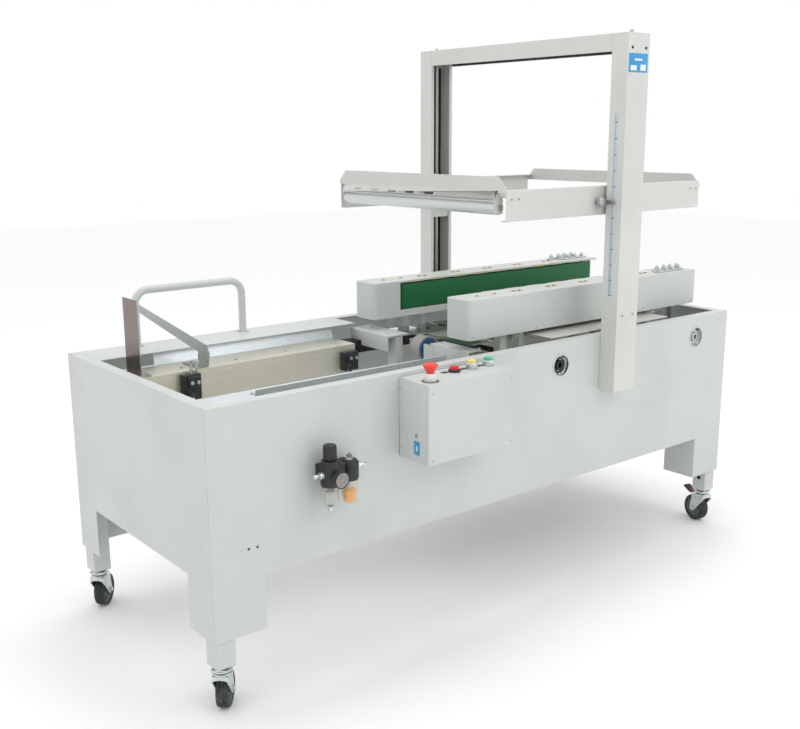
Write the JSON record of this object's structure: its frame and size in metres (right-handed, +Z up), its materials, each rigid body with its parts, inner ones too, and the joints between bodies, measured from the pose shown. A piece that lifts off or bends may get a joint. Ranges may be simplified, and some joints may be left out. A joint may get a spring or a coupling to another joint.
{
  "type": "carton sealer machine",
  "caption": "Semi-automatic side-belt carton sealer: open cabinet on casters, infeed trough, twin green side belts, bottom tape head and a gantry with a height-adjustable roller frame.",
  "frame": {"origin": "centre of the bounding box on the floor, under the machine", "axes": "+X along the carton's travel to the outfeed end, +Y away from the operator, +Z up"},
  "size_m": [2.2, 1.054, 1.807],
  "materials": {
    "white_paint": "light gray-white powder coat",
    "stainless": "brushed stainless sheet",
    "polished_table": "polished stainless plate",
    "zinc": "bright zinc plating",
    "screw_steel": "ground steel",
    "machined_alloy": "anodised alloy",
    "motor_iron": "dark enamel on cast housing",
    "belt_green": "green ribbed belt",
    "caster_tyre": "black tread rubber",
    "black_plastic": "moulded black plastic",
    "pedal_red": "dark red moulding",
    "button_red": "red moulding",
    "button_yellow": "yellow moulding",
    "button_green": "green moulding",
    "tape_film": "wound tape",
    "unit_gray": "gray moulded air unit",
    "clear_bowl": "clear bowl",
    "oil_bowl": "clear bowl with amber oil"
  },
  "bodies": {
    "cabinet": {"side_panel_near": "white_paint", "side_panel_far": "white_paint", "end_panel_infeed": "white_paint", "end_panel_outfeed": "white_paint", "hoop_handle": "white_paint", "column_near": "white_paint", "column_far": "white_paint", "gantry_beam": "white_paint", "table": "polished_table", "tape_head_frame": "stainless", "control_box": "white_paint", "air_unit_body": "unit_gray", "filter_bowl": "clear_bowl", "oil_bowl": "oil_bowl"},
    "caster_left_near": {"caster_fork_left_near": "zinc"},
    "wheel_left_near": {"caster_wheel_left_near": "caster_tyre"},
    "caster_left_far": {"caster_fork_left_far": "zinc"},
    "wheel_left_far": {"caster_wheel_left_far": "caster_tyre"},
    "caster_right_near": {"caster_fork_right_near": "zinc"},
    "wheel_right_near": {"caster_wheel_right_near": "caster_tyre"},
    "brake_right_near": {"brake_pedal_right_near": "pedal_red"},
    "caster_right_far": {"caster_fork_right_far": "zinc"},
    "wheel_right_far": {"caster_wheel_right_far": "caster_tyre"},
    "brake_right_far": {"brake_pedal_right_far": "pedal_red"},
    "top_frame": {"top_rail_near": "white_paint", "top_rail_far": "white_paint", "front_plate": "white_paint", "rear_plate": "white_paint"},
    "lift_screw_near": {"lift_screw_near": "screw_steel"},
    "lift_screw_far": {"lift_screw_far": "screw_steel"},
    "press_roller": {"press_roller": "screw_steel"},
    "lock_knob": {"lock_knob": "black_plastic"},
    "belt_unit_near": {"belt_housing_near": "white_paint", "belt_carriage_near": "machined_alloy", "gearmotor_near": "motor_iron", "side_belt_near": "belt_green", "infeed_guide_near": "stainless"},
    "drive_pulley_near": {"drive_pulley_near": "machined_alloy"},
    "idler_pulley_near": {"idler_pulley_near": "machined_alloy"},
    "belt_unit_far": {"belt_housing_far": "white_paint", "belt_carriage_far": "machined_alloy", "gearmotor_far": "motor_iron", "side_belt_far": "belt_green", "infeed_guide_far": "stainless", "loading_stop": "stainless", "clamp_block_left": "black_plastic", "clamp_block_right": "black_plastic"},
    "drive_pulley_far": {"drive_pulley_far": "machined_alloy"},
    "idler_pulley_far": {"idler_pulley_far": "machined_alloy"},
    "width_screw_infeed": {"width_screw_infeed": "screw_steel"},
    "width_screw_outfeed": {"width_screw_outfeed": "screw_steel"},
    "tape_roll": {"tape_roll": "tape_film"},
    "tape_arm": {"tape_arm": "zinc"},
    "emergency_stop": {"emergency_stop": "button_red"},
    "stop_button": {"stop_button": "button_red"},
    "reset_button": {"reset_button": "button_yellow"},
    "start_button": {"start_button": "button_green"},
    "regulator_knob": {"regulator_knob": "black_plastic"},
    "clamp_knob": {"clamp_knob": "black_plastic"},
    "clamp_lever": {"clamp_lever": "black_plastic"}
  },
  "joints": [
    {"name": "caster_swivel_left_near", "type": "hinge", "parent": "cabinet", "child": "caster_left_near", "pos_m": [-1.065, -0.362, 0.1265], "axis": [0, 0, 1], "continuous": true},
    {"name": "wheel_spin_left_near", "type": "hinge", "parent": "caster_left_near", "child": "wheel_left_near", "pos_m": [-1.04626, -0.34119, 0.05], "axis": [-0.7431, 0.6691, 0], "continuous": true},
    {"name": "caster_swivel_left_far", "type": "hinge", "parent": "cabinet", "child": "caster_left_far", "pos_m": [-1.065, 0.428, 0.1265], "axis": [0, 0, 1], "continuous": true},
    {"name": "wheel_spin_left_far", "type": "hinge", "parent": "caster_left_far", "child": "wheel_left_far", "pos_m": [-1.04555, 0.44814, 0.05], "axis": [-0.7193, 0.6947, 0], "continuous": true},
    {"name": "caster_swivel_right_near", "type": "hinge", "parent": "cabinet", "child": "caster_right_near", "pos_m": [1.065, -0.362, 0.1265], "axis": [0, 0, 1], "continuous": true},
    {"name": "wheel_spin_right_near", "type": "hinge", "parent": "caster_right_near", "child": "wheel_right_near", "pos_m": [1.07082, -0.33461, 0.05], "axis": [-0.9781, 0.2079, 0], "continuous": true},
    {"name": "brake_press_right_near", "type": "hinge", "parent": "caster_right_near", "child": "brake_right_near", "pos_m": [1.0729, -0.32483, 0.108], "axis": [-0.9781, 0.2079, 0], "range_deg": [0, 12]},
    {"name": "caster_swivel_right_far", "type": "hinge", "parent": "cabinet", "child": "caster_right_far", "pos_m": [1.065, 0.428, 0.1265], "axis": [0, 0, 1], "continuous": true},
    {"name": "wheel_spin_right_far", "type": "hinge", "parent": "caster_right_far", "child": "wheel_right_far", "pos_m": [1.05918, 0.40061, 0.05], "axis": [0.9781, -0.2079, 0], "continuous": true},
    {"name": "brake_press_right_far", "type": "hinge", "parent": "caster_right_far", "child": "brake_right_far", "pos_m": [1.0571, 0.39083, 0.108], "axis": [0.9781, -0.2079, 0], "range_deg": [0, 12]},
    {"name": "top_frame_lift", "type": "slide", "parent": "cabinet", "child": "top_frame", "axis": [0, 0, 1], "range_m": [-0.2, 0.34]},
    {"name": "lift_screw_turn_near", "type": "hinge", "parent": "cabinet", "child": "lift_screw_near", "pos_m": [0.425, -0.429, 1.2], "axis": [0, 0, 1], "continuous": true},
    {"name": "lift_screw_turn_far", "type": "hinge", "parent": "cabinet", "child": "lift_screw_far", "pos_m": [0.425, 0.495, 1.2], "axis": [0, 0, 1], "continuous": true},
    {"name": "press_roller_spin", "type": "hinge", "parent": "top_frame", "child": "press_roller", "pos_m": [-0.0603, 0.033, 1.274], "axis": [0, 1, 0], "continuous": true},
    {"name": "lock_knob_turn", "type": "hinge", "parent": "top_frame", "child": "lock_knob", "pos_m": [0.3405, -0.4, 1.276], "axis": [0, 1, 0], "range_deg": [0, 270]},
    {"name": "belt_slide_near", "type": "slide", "parent": "cabinet", "child": "belt_unit_near", "axis": [0, 1, 0], "range_m": [0, 0.1]},
    {"name": "drive_pulley_spin_near", "type": "hinge", "parent": "belt_unit_near", "child": "drive_pulley_near", "pos_m": [1.02, -0.19, 0.92], "axis": [0, 0, 1], "continuous": true},
    {"name": "idler_pulley_spin_near", "type": "hinge", "parent": "belt_unit_near", "child": "idler_pulley_near", "pos_m": [0.058, -0.19, 0.92], "axis": [0, 0, 1], "continuous": true},
    {"name": "belt_slide_far", "type": "slide", "parent": "cabinet", "child": "belt_unit_far", "axis": [0, 1, 0], "range_m": [-0.1, 0]},
    {"name": "drive_pulley_spin_far", "type": "hinge", "parent": "belt_unit_far", "child": "drive_pulley_far", "pos_m": [1.02, 0.256, 0.92], "axis": [0, 0, 1], "continuous": true},
    {"name": "idler_pulley_spin_far", "type": "hinge", "parent": "belt_unit_far", "child": "idler_pulley_far", "pos_m": [0.058, 0.256, 0.92], "axis": [0, 0, 1], "continuous": true},
    {"name": "width_screw_turn_infeed", "type": "hinge", "parent": "cabinet", "child": "width_screw_infeed", "pos_m": [0.183, 0.033, 0.7625], "axis": [0, 1, 0], "continuous": true},
    {"name": "width_screw_turn_outfeed", "type": "hinge", "parent": "cabinet", "child": "width_screw_outfeed", "pos_m": [0.91, 0.033, 0.7625], "axis": [0, 1, 0], "continuous": true},
    {"name": "tape_roll_spin", "type": "hinge", "parent": "cabinet", "child": "tape_roll", "pos_m": [-0.038, 0.0245, 0.782], "axis": [0, 1, 0], "continuous": true},
    {"name": "tape_arm_swing", "type": "hinge", "parent": "cabinet", "child": "tape_arm", "pos_m": [0.315, 0.033, 0.745], "axis": [0, 1, 0], "range_deg": [-24, 0], "stiffness_Nm_per_rad": 20, "springref_deg": 8.59},
    {"name": "emergency_stop_press", "type": "slide", "parent": "cabinet", "child": "emergency_stop", "axis": [0, 0, 1], "range_m": [-0.005, 0]},
    {"name": "stop_button_press", "type": "slide", "parent": "cabinet", "child": "stop_button", "axis": [0, 0, 1], "range_m": [-0.004, 0], "stiffness_N_per_m": 300, "springref_m": 0.002},
    {"name": "reset_button_press", "type": "slide", "parent": "cabinet", "child": "reset_button", "axis": [0, 0, 1], "range_m": [-0.004, 0], "stiffness_N_per_m": 300, "springref_m": 0.002},
    {"name": "start_button_press", "type": "slide", "parent": "cabinet", "child": "start_button", "axis": [0, 0, 1], "range_m": [-0.004, 0], "stiffness_N_per_m": 300, "springref_m": 0.002},
    {"name": "regulator_knob_turn", "type": "hinge", "parent": "cabinet", "child": "regulator_knob", "pos_m": [-0.763, -0.445, 0.675], "axis": [0, 0, 1], "range_deg": [0, 300]},
    {"name": "clamp_knob_turn", "type": "hinge", "parent": "belt_unit_far", "child": "clamp_knob", "pos_m": [-0.848, 0.1527, 0.718], "axis": [0, 1, 0], "range_deg": [0, 180]},
    {"name": "clamp_lever_turn", "type": "hinge", "parent": "belt_unit_far", "child": "clamp_lever", "pos_m": [-0.252, 0.1577, 0.726], "axis": [0, 1, 0], "range_deg": [-60, 60]}
  ],
  "couplings": [
    {"joint": "lift_screw_turn_near", "follows": "top_frame_lift", "rad_per_m": 314.16},
    {"joint": "lift_screw_turn_far", "follows": "top_frame_lift", "rad_per_m": 314.16},
    {"joint": "idler_pulley_spin_near", "follows": "drive_pulley_spin_near", "ratio": 1},
    {"joint": "idler_pulley_spin_far", "follows": "drive_pulley_spin_far", "ratio": 1},
    {"joint": "belt_slide_near", "follows": "belt_slide_far", "ratio": -1},
    {"joint": "width_screw_turn_infeed", "follows": "belt_slide_far", "rad_per_m": 628.32},
    {"joint": "width_screw_turn_outfeed", "follows": "belt_slide_far", "rad_per_m": 628.32}
  ]
}
